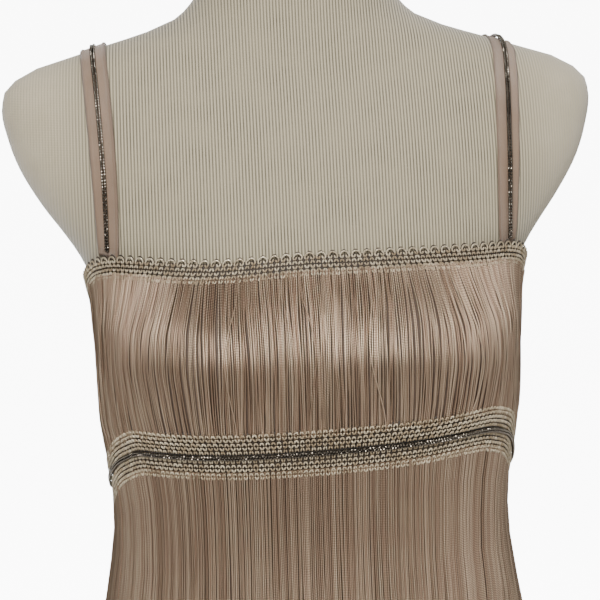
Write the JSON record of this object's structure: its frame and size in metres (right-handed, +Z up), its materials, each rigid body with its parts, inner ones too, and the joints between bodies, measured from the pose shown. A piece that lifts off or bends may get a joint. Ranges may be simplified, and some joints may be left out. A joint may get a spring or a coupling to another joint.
{
  "type": "flapper dress on a dress form",
  "caption": "Strappy dress with a bodice tier and a long skirt tier of hanging cord fringe under braid headings, worn by a limbless dress form on a pole and round base.",
  "frame": {"origin": "on the floor under the centre of the stand's round base", "axes": "+Z up, -Y the way the dress's front faces, +X towards the dress's left strap"},
  "size_m": [0.4068, 0.38, 1.522],
  "materials": {
    "champagne_slip": "plain matte knit",
    "champagne_fringe": "lustrous chain-stitched rayon cords",
    "champagne_braid": "lustrous knitted braid",
    "taupe_strap": "satin ribbon",
    "gunmetal_chain": "dark faceted beads",
    "form_jersey": "fine ribbed jersey",
    "satin_steel": "satin"
  },
  "bodies": {
    "root": {"form_torso": "form_jersey", "stand_pole": "satin_steel", "stand_base": "satin_steel", "bodice_front": "champagne_slip", "bodice_back": "champagne_slip", "skirt_front": "champagne_slip", "skirt_back": "champagne_slip", "neck_braid_front": "champagne_braid", "neck_braid_back": "champagne_braid", "bodice_fringe_front": "champagne_fringe", "bodice_fringe_back": "champagne_fringe", "waist_braid_upper_front": "champagne_braid", "waist_braid_upper_back": "champagne_braid", "waist_braid_lower_front": "champagne_braid", "waist_braid_lower_back": "champagne_braid", "skirt_fringe_front": "champagne_fringe", "skirt_fringe_back": "champagne_fringe", "waist_chain": "gunmetal_chain", "strap_left": "taupe_strap", "strap_right": "taupe_strap", "strap_chain_left": "gunmetal_chain", "strap_chain_right": "gunmetal_chain"}
  },
  "joints": []
}
